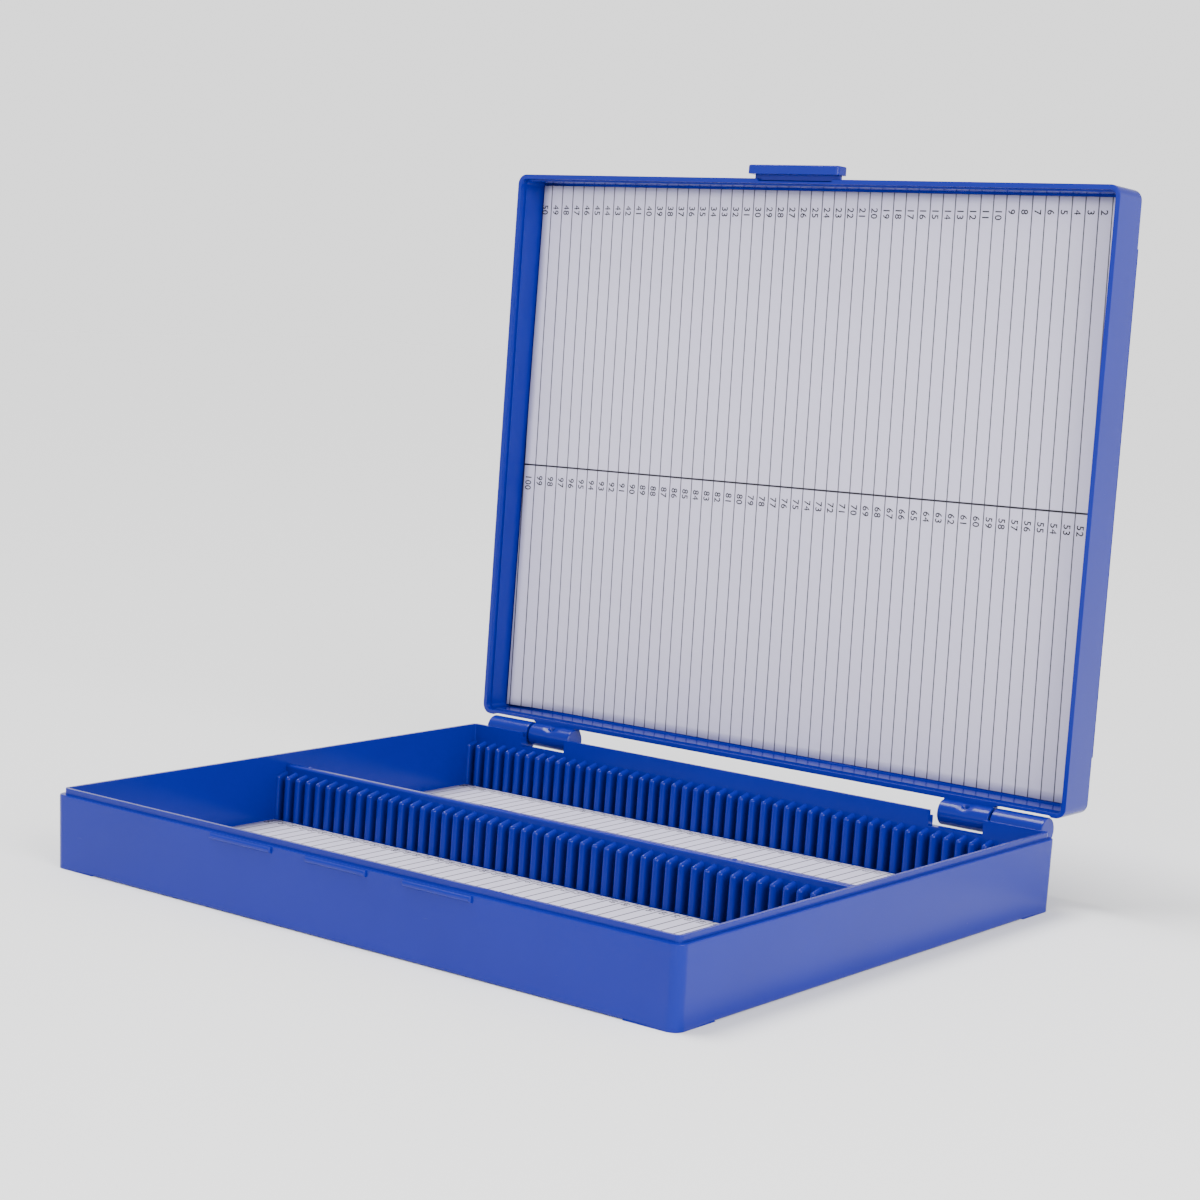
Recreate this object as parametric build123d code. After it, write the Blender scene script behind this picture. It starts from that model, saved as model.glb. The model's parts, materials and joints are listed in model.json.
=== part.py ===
from build123d import *
import math
import os

# Hinged storage box for one hundred microscope slides: a tray with two bays of slots
# and a shallow lid that stands open.
# Frame: origin at the centre of the tray's underside, X along the hinge, Y from the
# latch side to the hinge side, Z up.  Sizes in millimetres, angles in degrees.

# Slots that the slides stand in
slot_count = 50              # in each bay, side by side along X
slot_pitch = 4.0
slot_span = 80.2             # from a slot's closed end to the one that faces it
rib_width = 2.0
rib_depth = 4.0
rib_front_height = 12.0      # from the floor to the centre of the rib's round nose
rib_rise = 1.0               # how much higher the rib's crest is where it meets the wall
rack_back = 0.6              # web that carries one row of ribs, flush with its wall
rack_cover = 0.3             # web above the crests of its ribs

# Tray
wall = 2.5
floor_thickness = 2.1
foot_height = 0.5
foot_reach = 15.0            # how far a foot runs from its corner
foot_ramp = 45.0             # slope at the inner edges of a foot
parting_height = 19.7        # shoulder under the closed lid
shoulder_width = 1.5
lip_height = 1.6
lip_edge_radius = 0.3
corner_radius = 3.0
tray_edge_radius = 0.7
inside_corner_radius = 0.8
wall_draft = 1.0
divider_thickness = 2.6
divider_rise = 1.2           # above the racks
divider_edge_radius = 0.6

# Grip ridges on the tray's front wall; the middle one lies behind the latch tab
ridge_height = 1.6
ridge_drop = 0.2             # below the shoulder
ridge_ramp = 2.0
ridge_edge = 0.35
middle_ridge_length = 20.0
middle_ridge_stand = 0.9
side_ridge_length = 21.4
side_ridge_stand = 0.9
side_ridge_place = 32.5

# Lid
lid_height = 13.2            # outside, from rim to corner recess
lid_panel_rise = 0.5         # top face above its corner recesses
lid_top_thickness = 2.0
lid_wall = 1.9
lip_clearance = 0.1
lip_headroom = 0.3
seat_gap = 0.05              # between rim and shoulder when closed
recess_clearance = 0.8       # round another box's foot when boxes are stacked
lid_edge_radius = 0.8
lid_inside_radius = 0.5

# Latch tab on the lid's front wall
tab_width = 31.0
tab_thickness = 2.6
tab_ridge_gap = 0.3          # between the tab and the middle ridge
tab_overhang = 1.5           # below the rim
tab_rise = 3.6               # above the rim
tab_neck_height = 1.2        # bottom of the neck, above the rim
tab_neck_inset = 1.0         # neck inside the plate's outline
tab_corner_radius = 1.0
tab_edge_radius = 0.5
tab_lead_in = 0.6
pocket_width = 25.0          # in the rim behind the tab
pocket_depth = 0.7
pocket_height = 2.0

# Hinge: the lid's knuckles are inside, the tray's outside
hinge_lift = 0.5             # axis above the shoulder
knuckle_radius = 3.6
knuckle_wall_gap = 0.2       # barrel to the rear face of tray and lid
knuckle_edge_radius = 0.3
lid_knuckle_inner_end = 65.2
lid_knuckle_length = 15.8
knuckle_gap = 0.8
tray_knuckle_length = 15.8
tray_gusset_angle = 55.0     # where it leaves its barrel, from the horizontal
lid_gusset_angle = 120.0
relief_depth = 0.5           # in the lid's rear wall over a tray knuckle
relief_margin = 0.6
notch_drop = 2.75            # floor of the gap in the rear wall, below the shoulder
notch_margin = 0.8
pin_radius = 1.0
pin_running_clearance = 0.05
pin_end_cover = 1.4          # plastic beyond each end of a pin's bore
pin_end_play = 0.2
dimple_radius = 1.0          # small blind hole in each lid knuckle
dimple_depth = 1.4
dimple_mouth_radius = 1.65
dimple_mouth_depth = 0.5
dimple_angle = 60.0          # above the horizontal, lid open
lid_open_angle = 92.0

# Open stop: a bar on each lid knuckle lands on a ledge behind each tray knuckle
stop_reach = 5.2             # behind the axis
stop_clearance = 0.2         # to the barrel it passes over
stop_level = 1.8             # below the axis, where bar and ledge meet
stop_gap = 0.03
stop_lap = 2.2               # of the bar over the ledge, along the axis
stop_bar_height = 3.3
stop_ledge_height = 1.6

# Printed paper
card_thickness = 0.25
strip_thickness = 0.2
card_margin = 0.6            # to the lid's inner wall
strip_margin = 0.3           # to the noses of the ribs

# Worked out from the values above
inner_length = slot_count * slot_pitch
inner_depth = 2 * slot_span + divider_thickness
tray_length = inner_length + 2 * wall
tray_depth = inner_depth + 2 * wall
floor_top = foot_height + floor_thickness
rib_radius = rib_width / 2
rack_height = rib_front_height + rib_rise + rib_radius + rack_cover
rack_top = floor_top + rack_height
lip_top = parting_height + lip_height
notch_floor = parting_height - notch_drop
rear_face = tray_depth / 2
front_face = -tray_depth / 2
seat = parting_height + seat_gap
tab_stand = middle_ridge_stand + tab_ridge_gap
hinge_offset = knuckle_radius + knuckle_wall_gap
hinge_y = rear_face + hinge_offset
hinge_z = parting_height + hinge_lift
lid_ceiling = seat + lid_height - lid_top_thickness
lid_knuckle_outer_end = lid_knuckle_inner_end + lid_knuckle_length
tray_knuckle_inner_end = lid_knuckle_outer_end + knuckle_gap
tray_knuckle_outer_end = tray_knuckle_inner_end + tray_knuckle_length
overlap = 0.5                # how far joined features reach into their wall
clear = 5.0                  # how far a cutter runs past what it cuts
standing = (Align.CENTER, Align.CENTER, Align.MIN)


def block(x_span, y_span, z_span):
    """A box between two corners."""
    size = [high - low for low, high in (x_span, y_span, z_span)]
    middle = [(high + low) / 2 for low, high in (x_span, y_span, z_span)]
    return Pos(*middle) * Box(*size)


def slab(length, depth, radius, bottom, top):
    """An upright plate with rounded corners, centred on the origin."""
    outline = RectangleRounded(length, depth, radius) if radius > 0 else Rectangle(length, depth)
    return extrude(Pos(0, 0, bottom) * outline, top - bottom)


def along_x(points, x_low, x_high):
    """A prism along X from (y, z) points."""
    face = Plane.YZ.offset(x_low) * make_face(Polyline(*points, close=True))
    return extrude(face, x_high - x_low)


def barrel(radius, x_low, x_high):
    """A cylinder on the hinge axis."""
    length = x_high - x_low
    return Plane.YZ.offset(x_low) * Pos(hinge_y, hinge_z) * Cylinder(radius, length, align=standing)


def knuckle(x_span):
    """A hinge barrel with softened ends."""
    solid = barrel(knuckle_radius, *x_span)
    return fillet(solid.edges().filter_by(GeomType.CIRCLE), knuckle_edge_radius)


def gusset(x_span, level, up, angle):
    """The wedge between a barrel and its wall, flat at one level and sloping above or below."""
    slope = math.radians(angle)
    leave_y = hinge_y + knuckle_radius * math.cos(slope)
    leave_rise = knuckle_radius * math.sin(slope)
    root = rear_face - overlap
    root_rise = leave_rise + (leave_y - root) / math.tan(slope)
    return along_x(
        [(root, level),
         (hinge_y, level),
         (leave_y, hinge_z + up * leave_rise),
         (root, hinge_z + up * root_rise)],
        *x_span)


def both_ends(solid):
    """The solid and its mirror image at the other end of the box."""
    return solid + mirror(solid, about=Plane.YZ)


# ---------------------------------------------------------------- tray

def latch_ridge(length, stand, place):
    """A bar under the shoulder, ramped at both ends."""
    top = parting_height - ridge_drop
    half = length / 2
    outline = Polyline(
        (place - half, front_face + overlap),
        (place - half, front_face),
        (place - half + ridge_ramp, front_face - stand),
        (place + half - ridge_ramp, front_face - stand),
        (place + half, front_face),
        (place + half, front_face + overlap),
        close=True)
    bar = extrude(Pos(0, 0, top - ridge_height) * make_face(outline), ridge_height)
    long_edges = bar.edges().filter_by(Axis.X).group_by(Axis.Y)[0]
    return chamfer(long_edges, ridge_edge)


def tray_lug():
    """One tray knuckle and the gusset that carries it on the rear wall."""
    x_span = (tray_knuckle_inner_end, tray_knuckle_outer_end)
    top = hinge_z - stop_level
    ledge = block((tray_knuckle_inner_end, tray_knuckle_inner_end + stop_lap),
                  (hinge_y, hinge_y + stop_reach), (top - stop_ledge_height, top))
    return gusset(x_span, parting_height, -1, tray_gusset_angle) + knuckle(x_span) + ledge


def tray_block(height):
    """The tray's drafted outside, rounded along its bottom edge, down from the shoulder."""
    outline = Pos(0, 0, parting_height) * RectangleRounded(tray_length, tray_depth, corner_radius)
    solid = extrude(outline, height, dir=(0, 0, -1), taper=wall_draft)
    return fillet(solid.edges().group_by(Axis.Z)[0], tray_edge_radius)


def corners(solid):
    """The solid and its copies at all four corners."""
    pair = both_ends(solid)
    return pair + mirror(pair, about=Plane.XZ)


def feet():
    """Four corner pads with sloping inner edges."""
    size = foot_reach + clear
    place_x = tray_length / 2 - foot_reach + size / 2
    place_y = tray_depth / 2 - foot_reach + size / 2
    pad = extrude(Pos(place_x, place_y) * Rectangle(size, size), foot_height, taper=-foot_ramp)
    root = block((tray_length / 2 - foot_reach - foot_height, place_x),
                 (tray_depth / 2 - foot_reach - foot_height, place_y),
                 (foot_height, floor_top))
    root += block((place_x - clear, tray_length / 2 + clear),
                  (tray_depth / 2 - foot_reach - foot_height, tray_depth / 2 + clear),
                  (foot_height, floor_top))
    root += block((tray_length / 2 - foot_reach - foot_height, tray_length / 2 + clear),
                  (place_y - clear, tray_depth / 2 + clear),
                  (foot_height, floor_top))
    return corners(pad + root) & tray_block(parting_height)


def tray_shell():
    """Floor, four walls, lip, feet, ridges and the outer halves of the hinges."""
    body = tray_block(parting_height - foot_height) + feet()

    lip = slab(tray_length - 2 * shoulder_width, tray_depth - 2 * shoulder_width,
               corner_radius - shoulder_width, parting_height - overlap, lip_top)
    body += fillet(lip.edges().group_by(Axis.Z)[-1], lip_edge_radius)

    body -= block((-inner_length / 2, inner_length / 2),
                  (-inner_depth / 2 - rack_back, inner_depth / 2 + rack_back),
                  (floor_top, rack_top))
    body -= slab(inner_length, inner_depth, inside_corner_radius, rack_top, lip_top + clear)

    body += latch_ridge(middle_ridge_length, middle_ridge_stand, 0)
    for side in (-1, 1):
        body += latch_ridge(side_ridge_length, side_ridge_stand, side * side_ridge_place)

    body += both_ends(tray_lug())
    body -= both_ends(barrel(pin_radius, tray_knuckle_inner_end - overlap,
                             tray_knuckle_outer_end - pin_end_cover))
    notch = block((lid_knuckle_inner_end - notch_margin, lid_knuckle_outer_end + knuckle_gap / 2),
                  (inner_depth / 2 - overlap, rear_face + overlap),
                  (notch_floor, lip_top + clear))
    return body - both_ends(notch)


def divider():
    """The wall between the two bays."""
    top = rack_top + divider_rise
    crest = block((-inner_length / 2, inner_length / 2),
                  (-divider_thickness / 2, divider_thickness / 2),
                  (rack_top, top))
    crest_edges = crest.edges().filter_by(Axis.X).group_by(Axis.Z)[-1]
    crest = fillet(crest_edges, divider_edge_radius)
    core_half = divider_thickness / 2 - rack_back
    return crest + block((-inner_length / 2, inner_length / 2),
                         (-core_half, core_half), (floor_top, rack_top))


def rib():
    """One rib on its web: a round-nosed post whose crest climbs back to the wall."""
    nose_y = rack_back + rib_depth - rib_radius
    nose_z = floor_top + rib_front_height
    root_y = rack_back / 2
    root_z = nose_z + rib_rise
    post = along_x([(root_y, floor_top), (nose_y, floor_top), (nose_y, nose_z), (root_y, root_z)],
                   -rib_radius, rib_radius)
    post += Pos(0, nose_y, floor_top) * Cylinder(rib_radius, rib_front_height, align=standing)
    post += Pos(0, nose_y, nose_z) * Sphere(rib_radius)
    crest = Plane(origin=(0, nose_y, nose_z), z_dir=(0, root_y - nose_y, root_z - nose_z))
    crest_length = math.hypot(root_y - nose_y, root_z - nose_z)
    return post + crest * Cylinder(rib_radius, crest_length, align=standing)


def slot_rack():
    """A row of ribs; those at the ends are half sunk in the side walls."""
    web = block((-inner_length / 2, inner_length / 2), (0, rack_back), (floor_top, rack_top))
    one_rib = rib()
    row = [Pos(-inner_length / 2 + index * slot_pitch, 0, 0) * one_rib
           for index in range(slot_count + 1)]
    bay = block((-inner_length / 2, inner_length / 2),
                (0, rack_back + rib_depth + overlap), (floor_top, rack_top))
    return (web + row) & bay


# ---------------------------------------------------------------- lid, drawn closed

def lid_block(height):
    """The lid's drafted outside, rounded along its top edge."""
    outline = Pos(0, 0, seat) * RectangleRounded(tray_length, tray_depth, corner_radius)
    solid = extrude(outline, height, taper=wall_draft)
    return fillet(solid.edges().group_by(Axis.Z)[-1], lid_edge_radius)


def lid_lug():
    """One lid knuckle and its gusset."""
    x_span = (lid_knuckle_inner_end, lid_knuckle_outer_end)
    return gusset(x_span, seat, 1, lid_gusset_angle) + knuckle(x_span)


def latch_tab():
    """The plate that hangs over the tray's front wall, on its neck."""
    inner = front_face - tab_stand
    outer = inner - tab_thickness
    top = seat + tab_rise
    half = tab_width / 2
    plate = block((-half, half), (outer, inner), (seat - tab_overhang, top))
    plate = fillet(plate.edges().filter_by(Axis.Y), tab_corner_radius)
    plate = fillet(plate.faces().sort_by(Axis.Y)[0].edges(), tab_edge_radius)
    lead_edge = plate.faces().sort_by(Axis.Y)[-1].edges().sort_by(Axis.Z)[0]
    plate = chamfer(lead_edge, tab_lead_in)
    neck = block((tab_neck_inset - half, half - tab_neck_inset),
                 (inner - overlap, front_face + overlap),
                 (seat + tab_neck_height, top - tab_neck_inset))
    return plate + neck


def lid_shell():
    """Top, four walls, latch tab and the inner halves of the hinges."""
    reach = foot_reach + recess_clearance
    low = seat + lid_height - 2 * lid_edge_radius
    high = seat + lid_height + clear
    cross = block((reach - tray_length / 2, tray_length / 2 - reach),
                  (-tray_depth / 2 - clear, tray_depth / 2 + clear), (low, high))
    cross += block((-tray_length / 2 - clear, tray_length / 2 + clear),
                   (reach - tray_depth / 2, tray_depth / 2 - reach), (low, high))
    body = lid_block(lid_height) + (lid_block(lid_height + lid_panel_rise) & cross)

    relief = barrel(hinge_offset + relief_depth,
                    tray_knuckle_inner_end - relief_margin, tray_knuckle_outer_end + relief_margin)
    relief = fillet(relief.edges().filter_by(GeomType.CIRCLE), relief_margin)
    body -= both_ends(relief)
    body += both_ends(lid_lug())
    body += latch_tab()

    rim = shoulder_width - lip_clearance
    cavity = slab(tray_length - 2 * lid_wall, tray_depth - 2 * lid_wall,
                  corner_radius - lid_wall, seat - clear, lid_ceiling)
    body -= fillet(cavity.edges().group_by(Axis.Z)[-1], lid_inside_radius)
    body -= slab(tray_length - 2 * rim, tray_depth - 2 * rim, corner_radius - rim,
                 seat - clear, seat + lip_height + lip_headroom)
    body -= block((-pocket_width / 2, pocket_width / 2),
                  (front_face - tab_stand, front_face + pocket_depth),
                  (seat - clear, seat + pocket_height))
    return body - both_ends(barrel(pin_radius + pin_running_clearance,
                                   lid_knuckle_inner_end + pin_end_cover,
                                   lid_knuckle_outer_end + overlap))


def opened(solid):
    """A piece of the lid, swung from closed to open."""
    return solid.rotate(Axis((0, hinge_y, hinge_z), (1, 0, 0)), -lid_open_angle)


def stop_bar():
    """The bar on a lid knuckle that lands on the tray's ledge, lid open."""
    bottom = hinge_z - stop_level + stop_gap
    heights = (bottom, bottom + stop_bar_height)
    root = block((lid_knuckle_outer_end - stop_lap, lid_knuckle_outer_end),
                 (hinge_y + knuckle_radius / 2, hinge_y + stop_reach), heights)
    return root + block((lid_knuckle_outer_end - stop_lap, tray_knuckle_inner_end + stop_lap),
                        (hinge_y + knuckle_radius + stop_clearance, hinge_y + stop_reach),
                        heights)


def dimple():
    """The small blind hole in the crown of a lid knuckle, lid open."""
    middle = (lid_knuckle_inner_end + lid_knuckle_outer_end) / 2
    lean = math.radians(dimple_angle)
    out = Plane(origin=(middle, hinge_y, hinge_z), z_dir=(0, -math.cos(lean), math.sin(lean)))
    hole = Cylinder(dimple_radius, dimple_depth + overlap, align=standing)
    mouth = Cone(dimple_radius, dimple_mouth_radius, dimple_mouth_depth, align=standing)
    hole = Pos(0, 0, knuckle_radius - dimple_depth) * hole
    mouth = Pos(0, 0, knuckle_radius - dimple_mouth_depth) * mouth
    return out * (hole + mouth)


# ---------------------------------------------------------------- loose pieces

def index_card():
    """The printed card against the lid's ceiling."""
    return slab(tray_length - 2 * (lid_wall + card_margin), tray_depth - 2 * (lid_wall + card_margin),
                0, lid_ceiling - card_thickness, lid_ceiling)


def index_strip():
    """A printed strip on the floor between two rows of ribs, centred on its bay."""
    return slab(inner_length - 2 * strip_margin, slot_span - 2 * (rib_depth + strip_margin),
                0, floor_top, floor_top + strip_thickness)


def hinge_pin():
    """A plain pin, held by the tray's knuckle and free in the lid's."""
    return barrel(pin_radius, lid_knuckle_inner_end + pin_end_cover + pin_end_play,
                  tray_knuckle_outer_end - pin_end_cover - pin_end_play)


def front_rack(place):
    """A row of ribs that faces the hinge, its wall face at the given Y."""
    return Pos(0, place - rack_back, 0) * rack


def rear_rack(place):
    """A row of ribs that faces the latch, its wall face at the given Y."""
    return mirror(Pos(0, -place - rack_back, 0) * rack, about=Plane.XZ)


rack = slot_rack()
bay_middle = (divider_thickness + slot_span) / 2
pin = hinge_pin()
nodes = {
    "base_tray": tray_shell(),
    "divider_wall": divider(),
    "slot_rack_front_wall": front_rack(-inner_depth / 2),
    "slot_rack_divider_front": rear_rack(-divider_thickness / 2),
    "slot_rack_divider_rear": front_rack(divider_thickness / 2),
    "slot_rack_rear_wall": rear_rack(inner_depth / 2),
    "index_strip_front": Pos(0, -bay_middle, 0) * index_strip(),
    "index_strip_rear": Pos(0, bay_middle, 0) * index_strip(),
    "hinge_pin_left": mirror(pin, about=Plane.YZ),
    "hinge_pin_right": pin,
    "lid_shell": opened(lid_shell()) + both_ends(stop_bar()) - both_ends(dimple()),
    "lid_index_card": opened(index_card()),
}

os.makedirs("parts", exist_ok=True)
for name, shape in nodes.items():
    export_step(shape, f"parts/{name}.step")
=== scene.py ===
import json
import math

import bmesh
import bpy
from mathutils import Matrix, Vector, noise


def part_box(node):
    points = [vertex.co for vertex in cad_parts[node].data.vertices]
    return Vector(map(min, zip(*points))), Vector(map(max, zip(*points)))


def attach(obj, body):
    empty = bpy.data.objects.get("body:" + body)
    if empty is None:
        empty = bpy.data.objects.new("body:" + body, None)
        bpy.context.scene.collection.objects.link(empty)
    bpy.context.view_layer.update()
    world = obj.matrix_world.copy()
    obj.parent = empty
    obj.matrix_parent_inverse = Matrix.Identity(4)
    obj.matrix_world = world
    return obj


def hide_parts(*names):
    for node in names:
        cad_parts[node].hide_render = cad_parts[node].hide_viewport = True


bl_info = {
    "name": "Slide box",
    "version": (1, 0, 0),
    "blender": (4, 5, 0),
    "location": "View3D > Sidebar > Slide box",
    "description": "A hinged box for one hundred microscope slides, with printed index papers",
    "category": "Object",
}

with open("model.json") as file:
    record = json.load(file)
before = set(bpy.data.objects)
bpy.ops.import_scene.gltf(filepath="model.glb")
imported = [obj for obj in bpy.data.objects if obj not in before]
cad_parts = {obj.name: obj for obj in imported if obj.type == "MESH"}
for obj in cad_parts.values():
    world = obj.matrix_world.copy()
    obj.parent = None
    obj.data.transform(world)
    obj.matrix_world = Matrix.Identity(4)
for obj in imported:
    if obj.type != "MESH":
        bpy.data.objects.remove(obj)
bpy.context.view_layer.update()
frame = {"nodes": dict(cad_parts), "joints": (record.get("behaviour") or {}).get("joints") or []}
lid_joint = frame["joints"][0]
hinge = Vector(lid_joint["pos_m"])
open_angle = math.radians(-lid_joint["range_deg"][0])
strip_low, strip_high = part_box("index_strip_front")
divider_low, divider_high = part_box("divider_wall")
across = Matrix.Rotation(math.pi / 2, 4, "Y")     # turns a shape drawn along Z to lie along X
X, Y, Z = range(3)


# ------------------------------------------------------------------ fixed details, in metres

SLACK = 2e-5                # places closer than this are taken as one
FACING = 0.9                # a normal with this much along an axis faces that way
UPRIGHT = 0.3               # a face whose normal has less than this along Z stands upright
SKIN = 0.001                # depth behind an outer wall's face that still counts as the face
SUNK = 0.0005               # how far a shape reaches into the wall that it grows from
HAIR = 0.0001               # how far a shape inside another stays from its faces
SOFT_EDGE = 0.0002          # radius on the edges of small blocks
CREASE = 32.0               # degrees, edges folded more than this stay sharp

LIP_EDGE = 0.0003           # radii on the tray's edges
SHOULDER_EDGE = 0.00035
FOOT_EDGE = 0.0004
LID_EDGE = 0.0007
INSIDE_EDGE = 0.0006        # where floor or ceiling meets the walls
NOTCH_INNER = 0.0008        # from a lid knuckle's ends to those of its gap in the rear wall
NOTCH_OUTER = 0.0004
NOTCH_ZONE = 0.0035         # depth behind the rear face that holds the whole rear wall
NOTCH_FLOOR = 0.005         # a height below every gap and above the tray's floor
RIDGE_DROP = 0.0002         # ridges below the shoulder
MIDDLE_RIDGE = 0.010        # half its length
SIDE_RIDGE = (0.0218, 0.0432)
RIDGE_ROUND = 0.75          # of how far a ridge stands out
GATE_RADIUS = 0.0022        # the pip where the plastic entered the mould
GATE_FLATNESS = 0.12

DIVIDER_CREST = 0.0007      # radius
FLASH_RADIUS = 0.0005       # pips of flash on the divider's crest
FLASH_PLACES = (-0.092, 0.057)
FLASH_ASIDE = 0.0003
FLASH_SHAPE = (1.6, 1, 0.55, 1)
DOME = (0, 24, 46, 66, 81)  # degrees up a rib's rounded crest where it is stepped
NOSE_ROUND = 0.98           # of the widest round that a rib's front takes
RIB_SWELL = 0.05            # how much wider a rib is at the floor than halfway up
RIB_LEAN = 0.0002           # and how much deeper

BARREL_EDGE = 0.0003
BARREL_GAP = 0.0002         # from a barrel to its wall, and a gusset's inset from its barrel
STOP_LEVEL = 0.0018         # below the hinge axis, where the lid's bars meet the tray's ledges
STOP_REACH = 0.0052         # behind the axis
STOP_LAP = 0.0022           # of bar and ledge, along the axis
STOP_GAP = 0.00003
LEDGE_HEIGHT = 0.0016
BAR_HEIGHT = 0.0033
BAR_START = 0.0038          # behind the axis
RELIEF_STEPS = (0.0006, 0.0003, -0.0001)    # beyond a tray knuckle: start, shelf and full depth
RELIEF_CUTS = (0.0004, 0.0009, 0.0013, 0.0017, 0.0020)      # above the hinge axis
RELIEF_TOP = 0.0021
RELIEF_SHELF = 0.75         # share of the full depth
SINK_DEPTH = 0.0004         # the soft mark around the hole in a lid knuckle's crown
SINK_REACH = 0.0032
HOLE_DEPTH = 0.0010
HOLE_RADIUS = 0.0011
HOLE_SLOPE = 0.0005
HOLE_ANGLE = math.radians(60)               # above the horizontal, lid open

POCKET_HALF = 0.0125        # the hollow in the lid's front wall behind the tab
POCKET_HEIGHT = 0.0016
POCKET_SLOPE = 0.0004
POCKET_DEPTH = 0.0007
TAB_CORNER = 0.001
TAB_EDGE = 0.0005
NECK_INSET = 0.001
NECK_START = 0.0012         # above the rim

CARD_MARGIN = 0.0006        # to the lid's inner wall
CARD_THICKNESS = 0.00025
CARD_TOP_ROW = 0.0046       # numbers from the card's latch edge
CARD_LOWER_ROW = 0.0032     # numbers below the middle line
CARD_SHIFT = 0.0002         # numbers towards the left of their columns
CURL_START = 0.080          # left of the middle, where the card starts to lift
CURL_RUN = 0.020
STRIP_THICKNESS = 0.00015
STRIP_ROW = 0.0012
STRIP_SINK = 0.00004        # below the upper face of the strip's node
CARD_WAVE, STRIP_WAVE = 0.00007, 0.00003    # how far paper strays from flat
PRINT_LIFT = 0.00003        # ink above its paper
DIGIT_TALL = 0.70           # a digit's height, in the letter's own unit
DIGIT_STEP = 0.54           # from one digit to the next
DIGIT_BOLD = 0.012
COLUMNS = 50                # numbers in one row
FIRST_COLUMN = (COLUMNS - 1) / 2            # pitches from the middle to the first number


# ------------------------------------------------------------------ sizes and colours

def length(name, description, default):
    return bpy.props.FloatProperty(
        name=name, description=description, default=default, unit="LENGTH", precision=5)


def angle(name, description, default):
    return bpy.props.FloatProperty(
        name=name, description=description, default=math.radians(default), unit="ROTATION")


def colour(name, description, default):
    return bpy.props.StringProperty(name=name, description=description, default=default)


class SLIDEBOX_PG_tray(bpy.types.PropertyGroup):
    length: length("Length", "Outside, along the hinge", 0.205)
    depth: length("Depth", "Outside, from the latch side to the hinge side", 0.168)
    shoulder: length("Shoulder height", "Height of the face that the shut lid rests on", 0.0197)
    wall: length("Wall", "Thickness of the side walls", 0.0025)
    ledge: length("Shoulder width", "From the outside to the lip", 0.0015)
    lip: length("Lip", "Height of the lip above the shoulder", 0.0016)
    floor: length("Floor", "Height of the floor's upper face", divider_low.z)
    foot: length("Foot", "Height of the corner feet", 0.0005)
    foot_reach: length("Foot reach", "How far a foot runs from its corner", 0.015)
    corner: length("Corner", "Radius of the upright corners", 0.003)
    draft: angle("Draft", "How much the walls lean", 1.0)
    notch_drop: length("Notch", "Depth of the gaps for the lid's knuckles", 0.00275)


class SLIDEBOX_PG_ribs(bpy.types.PropertyGroup):
    count: bpy.props.IntProperty(name="Ribs", description="Ribs in one row", default=51, min=2)
    pitch: length("Pitch", "From one rib to the next", 0.004)
    width: length("Width", "Width of one rib", 0.002)
    reach: length("Reach", "How far a rib stands from its wall", 0.004)
    nose: length("Nose height", "From the floor to the middle of the round nose", 0.012)
    rise: length("Rise", "How much the crest climbs back to the wall", 0.001)


class SLIDEBOX_PG_lid(bpy.types.PropertyGroup):
    seat: length("Seat", "Height of the rim above the underside, lid shut", 0.01975)
    height: length("Height", "From the rim to the corner recesses", 0.0132)
    rise: length("Panel rise", "Top face above its corner recesses", 0.0005)
    recess: length("Recess", "Reach of a corner recess", 0.0158)
    rim: length("Rim", "Wall thickness at the rim", 0.0014)
    rim_step: length("Rim step", "Height of the thin part of the wall", 0.0019)
    wall: length("Wall", "Wall thickness above the rim", 0.0019)
    ceiling: length("Ceiling", "Inside depth, from rim to ceiling", 0.0112)


class SLIDEBOX_PG_latch(bpy.types.PropertyGroup):
    width: length("Tab width", "Along the front wall", 0.031)
    thickness: length("Tab thickness", "From its inner to its outer face", 0.0026)
    gap: length("Tab gap", "From the tray's front wall to the tab", 0.0012)
    overhang: length("Overhang", "How far the tab hangs below the rim", 0.0015)
    rise: length("Tab rise", "How far the tab goes above the rim", 0.0036)
    ridge: length("Ridge height", "Height of the ridges under the shoulder", 0.0016)
    ridge_stand: length("Ridge stand", "How far the ridges stand out", 0.0009)


class SLIDEBOX_PG_hinge(bpy.types.PropertyGroup):
    radius: length("Knuckle radius", "Outside radius of the barrels", 0.0036)
    lid_inner: length("Lid knuckle start", "Inner end, from the middle of the box", 0.0652)
    lid_outer: length("Lid knuckle end", "Outer end, from the middle of the box", 0.081)
    tray_inner: length("Tray knuckle start", "Inner end, from the middle of the box", 0.0818)
    tray_outer: length("Tray knuckle end", "Outer end, from the middle of the box", 0.0976)
    relief: length("Relief", "Hollow in the lid's rear wall over a tray knuckle", 0.0005)
    tray_gusset: angle("Tray gusset", "Where it leaves its barrel, from the horizontal", 55.0)
    lid_gusset: angle("Lid gusset", "Where it leaves its barrel, lid shut", 120.0)


class SLIDEBOX_PG_print(bpy.types.PropertyGroup):
    pitch: length("Line pitch", "From one printed line to the next", 0.004)
    line: length("Line width", "Width of a thin printed line", 0.00036)
    strip_line: length("Strip line width", "Width of a line on the tray's strips", 0.00048)
    middle: length("Middle line", "Width of the line between the two rows", 0.00055)
    middle_place: length(
        "Middle place", "Middle line, towards the hinge from the card's centre", 0.0041)
    digits: length("Digits", "Height of the printed numbers", 0.0021)
    skew: angle("Skew", "How far the print is turned on the card", 0.75)
    curl: length("Curl", "How far the card's left edge lifts from the lid", 0.0024)


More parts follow.
